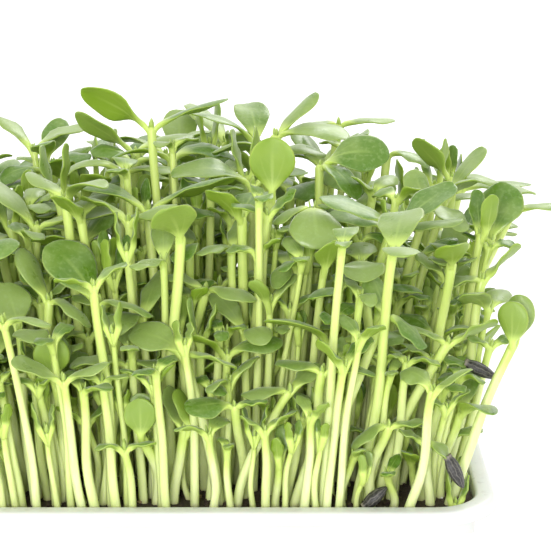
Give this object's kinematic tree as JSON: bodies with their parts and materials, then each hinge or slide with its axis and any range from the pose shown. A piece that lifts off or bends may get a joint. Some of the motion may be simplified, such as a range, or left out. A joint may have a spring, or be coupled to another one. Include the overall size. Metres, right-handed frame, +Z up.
{
  "type": "sunflower microgreens tray",
  "caption": "Shallow plastic growing tray with soil, densely planted with upright sunflower shoots, each a bare pale stem with a pair of thick oval seed leaves",
  "frame": {"origin": "middle of the tray's flat underside, where it stands on a surface", "axes": "+X along the tray's length, +Y across it towards the back, +Z up along the shoots"},
  "size_m": [0.2264, 0.1693, 0.1619],
  "materials": {
    "tray_plastic": "smooth satin white",
    "soil": "dark moist crumbly growing medium",
    "shoot_green": "fleshy matt leaf green, paler on the stem",
    "hull": "dark striped seed hull, matt"
  },
  "bodies": {
    "root": {"seed_hull_1": "hull", "seed_hull_2": "hull", "seed_hull_3": "hull", "seed_hull_4": "hull", "seed_hull_5": "hull", "seed_hull_6": "hull", "shoots_01": "shoot_green", "shoots_02": "shoot_green", "shoots_03": "shoot_green", "shoots_04": "shoot_green", "shoots_05": "shoot_green", "shoots_06": "shoot_green", "shoots_07": "shoot_green", "shoots_08": "shoot_green", "shoots_09": "shoot_green", "shoots_10": "shoot_green", "shoots_11": "shoot_green", "shoots_12": "shoot_green", "shoots_13": "shoot_green", "shoots_14": "shoot_green", "shoots_15": "shoot_green", "shoots_16": "shoot_green", "shoots_17": "shoot_green", "shoots_18": "shoot_green", "shoots_19": "shoot_green", "shoots_20": "shoot_green", "shoots_21": "shoot_green", "shoots_22": "shoot_green", "shoots_23": "shoot_green", "shoots_24": "shoot_green", "shoots_25": "shoot_green", "shoots_26": "shoot_green", "shoots_27": "shoot_green", "shoots_28": "shoot_green", "shoots_29": "shoot_green", "shoots_30": "shoot_green", "shoots_31": "shoot_green", "shoots_32": "shoot_green", "shoots_33": "shoot_green", "shoots_34": "shoot_green", "shoots_35": "shoot_green", "shoots_36": "shoot_green", "shoots_37": "shoot_green", "shoots_38": "shoot_green", "shoots_39": "shoot_green", "shoots_40": "shoot_green", "shoots_41": "shoot_green", "shoots_42": "shoot_green", "shoots_43": "shoot_green", "shoots_44": "shoot_green", "shoots_45": "shoot_green", "shoots_46": "shoot_green", "shoots_47": "shoot_green", "shoots_48": "shoot_green", "soil": "soil", "tray": "tray_plastic"}
  },
  "joints": []
}
